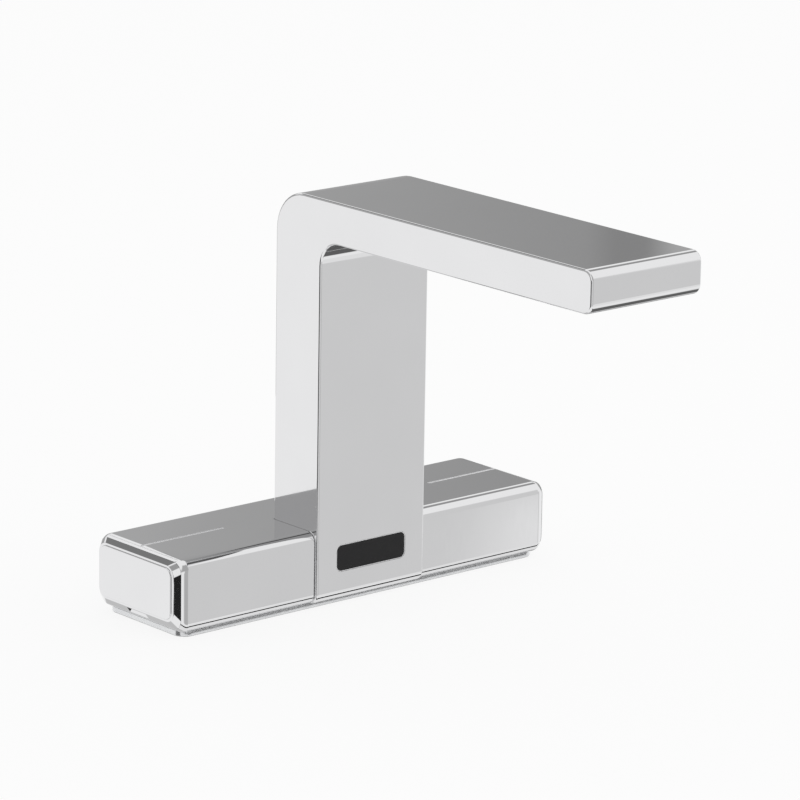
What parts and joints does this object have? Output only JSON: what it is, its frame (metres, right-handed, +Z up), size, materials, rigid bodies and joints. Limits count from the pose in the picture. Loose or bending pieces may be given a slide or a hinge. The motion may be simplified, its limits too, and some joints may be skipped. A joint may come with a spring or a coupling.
{
  "type": "sensor tap",
  "caption": "Deck-mounted chrome sensor tap: low rectangular bar with a sensor window, square upright turning into a flat spout, battery drawer behind one end cap.",
  "frame": {"origin": "middle of the bar's footprint, on the deck face of the base plate", "axes": "X along the bar, with the battery drawer at -X and the temperature spindle at +X; the spout points to -Y; +Z is up"},
  "size_m": [0.174, 0.1878, 0.15],
  "materials": {
    "polished_chrome": "polished",
    "cap_chrome": "polished",
    "aerator_chrome": "polished",
    "bright_rim": "polished",
    "zinc_casting": "satin",
    "seal_rubber": "matte",
    "stainless": "satin",
    "brass_bar": "machined",
    "brass_casting": "cast",
    "black_plastic": "matte",
    "grey_plastic": "matte",
    "white_plastic": "satin",
    "battery_wrap": "satin",
    "gold_contact": "polished",
    "potting_resin": "satin",
    "coil_resin": "satin",
    "dark_lens": "gloss",
    "clear_diode": "gloss",
    "dark_diode": "gloss",
    "circuit_board": "satin",
    "valve_ceramic": "polished",
    "tube_plastic": "satin"
  },
  "bodies": {
    "tap": {"bar_body": "polished_chrome", "spout_body": "polished_chrome", "base_plate": "zinc_casting", "deck_gasket": "seal_rubber", "base_screws": "stainless", "foot_block": "brass_bar", "foot_screws": "stainless", "contact_block": "black_plastic", "battery_contacts": "gold_contact", "control_unit": "potting_resin", "sensor_window": "dark_lens", "window_rim": "bright_rim", "sensor_housing": "black_plastic", "ir_emitter": "clear_diode", "ir_receiver": "dark_diode", "sensor_board": "circuit_board", "sensor_screws": "stainless", "water_manifold": "brass_casting", "valve_body": "brass_casting", "inlet_strainers": "stainless", "check_valve_seats": "white_plastic", "check_springs": "stainless", "mixing_cartridge": "white_plastic", "fixed_disc": "valve_ceramic", "cartridge_nut": "brass_bar", "spindle_seal": "seal_rubber", "solenoid_coil": "coil_resin", "plunger_tube": "stainless", "plunger_spring": "stainless", "coil_nut": "stainless", "water_tube": "tube_plastic", "tube_seals": "seal_rubber", "aerator_socket": "brass_casting", "aerator_housing": "aerator_chrome", "aerator_insert": "grey_plastic", "aerator_seal": "seal_rubber"},
    "battery_drawer": {"left_end_cap": "cap_chrome", "battery_tray": "black_plastic", "tray_seal": "seal_rubber", "battery_pack": "battery_wrap", "drawer_screws": "stainless"},
    "right_cap": {"right_end_cap": "cap_chrome", "right_cap_plug": "black_plastic", "right_cap_seal": "seal_rubber", "right_cap_screws": "stainless"},
    "spindle": {"temperature_spindle": "brass_bar", "moving_disc": "valve_ceramic"},
    "valve_plunger": {"plunger": "stainless", "plunger_seal": "seal_rubber"},
    "hot_check": {"hot_check_poppet": "white_plastic"},
    "cold_check": {"cold_check_poppet": "white_plastic"}
  },
  "joints": [
    {"name": "battery_drawer_slide", "type": "slide", "parent": "tap", "child": "battery_drawer", "axis": [-1, 0, 0], "range_m": [0, 0.048]},
    {"name": "right_cap_slide", "type": "slide", "parent": "tap", "child": "right_cap", "axis": [1, 0, 0], "range_m": [0, 0.02]},
    {"name": "temperature_turn", "type": "hinge", "parent": "tap", "child": "spindle", "pos_m": [0, 0.0108, 0.0151], "axis": [1, 0, 0], "range_deg": [-50, 50]},
    {"name": "valve_lift", "type": "slide", "parent": "tap", "child": "valve_plunger", "axis": [1, 0, 0], "range_m": [0, 0.0012], "stiffness_N_per_m": 200, "springref_m": -0.004},
    {"name": "hot_check_lift", "type": "slide", "parent": "tap", "child": "hot_check", "axis": [0, 0, 1], "range_m": [0, 0.0015], "stiffness_N_per_m": 30, "springref_m": -0.003},
    {"name": "cold_check_lift", "type": "slide", "parent": "tap", "child": "cold_check", "axis": [0, 0, 1], "range_m": [0, 0.0015], "stiffness_N_per_m": 30, "springref_m": -0.003}
  ]
}
